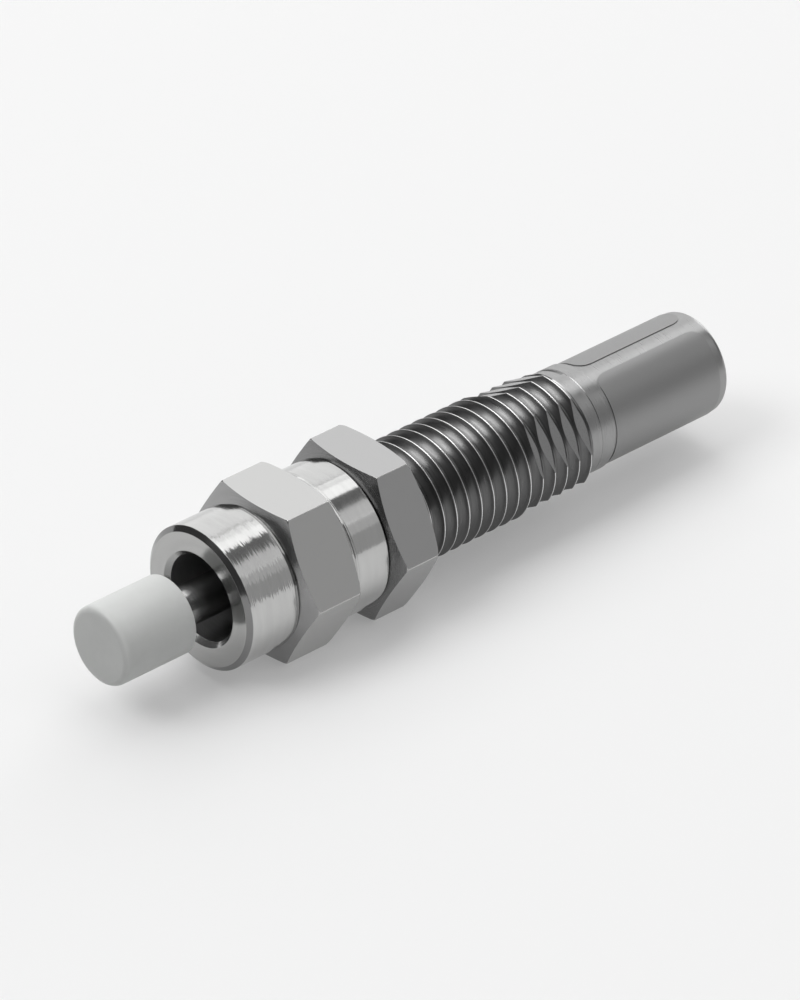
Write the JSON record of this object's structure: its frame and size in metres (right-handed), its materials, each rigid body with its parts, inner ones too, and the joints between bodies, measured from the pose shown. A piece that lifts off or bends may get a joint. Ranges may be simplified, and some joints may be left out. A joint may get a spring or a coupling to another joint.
{
  "type": "industrial shock absorber",
  "caption": "Small threaded hydraulic shock absorber with a plastic buffer on its rod, a hexagon stop sleeve, a lock nut, wrench flats and a smooth labelled rear end.",
  "frame": {"origin": "on the rod's axis, in the lock nut's rear clamping face", "axes": "+X along the axis from the buffer to the rear end, +Z along the normal of one hexagon flat"},
  "size_m": [0.0477, 0.0116, 0.01],
  "materials": {
    "plated_steel": "turned, thin bright plating",
    "housing_steel": "rolled thread, thin satin plating",
    "ground_steel": "ground bright",
    "spring_steel": "drawn",
    "white_plastic": "moulded, slightly satin",
    "label_foil": "satin foil",
    "seal_rubber": "smooth",
    "foam_rubber": "closed-cell foam",
    "bearing_bronze": "machined",
    "ring_plastic": "filled plastic"
  },
  "bodies": {
    "housing_set": {"housing": "housing_steel", "rear_label": "label_foil", "retaining_ring": "spring_steel", "front_washer": "spring_steel", "rod_wiper": "seal_rubber", "rod_seal": "seal_rubber", "seal_washer": "ring_plastic", "rod_bearing": "bearing_bronze", "bearing_o_ring": "seal_rubber", "accumulator_foam": "foam_rubber", "pressure_tube": "ground_steel", "return_spring": "spring_steel", "spring_seat": "spring_steel", "tube_end_cap": "ground_steel", "fill_ball": "ground_steel"},
    "rod_set": {"piston_rod": "ground_steel", "buffer": "white_plastic", "check_disc": "spring_steel", "piston": "bearing_bronze", "piston_ring": "ring_plastic", "piston_washer": "spring_steel", "retaining_clip": "spring_steel"},
    "stop_sleeve_body": {"stop_sleeve": "plated_steel"},
    "lock_nut_body": {"lock_nut": "plated_steel"}
  },
  "joints": [
    {"name": "rod_slide", "type": "slide", "parent": "housing_set", "child": "rod_set", "axis": [1, 0, 0], "range_m": [0, 0.008], "stiffness_N_per_m": 375, "springref_m": -0.0053, "deforming": ["return_spring"]},
    {"name": "lock_nut_travel", "type": "slide", "parent": "housing_set", "child": "lock_nut_body", "axis": [1, 0, 0], "range_m": [0, 0.008]},
    {"name": "stop_sleeve_travel", "type": "slide", "parent": "housing_set", "child": "stop_sleeve_body", "axis": [1, 0, 0], "range_m": [-0.003, 0]}
  ]
}
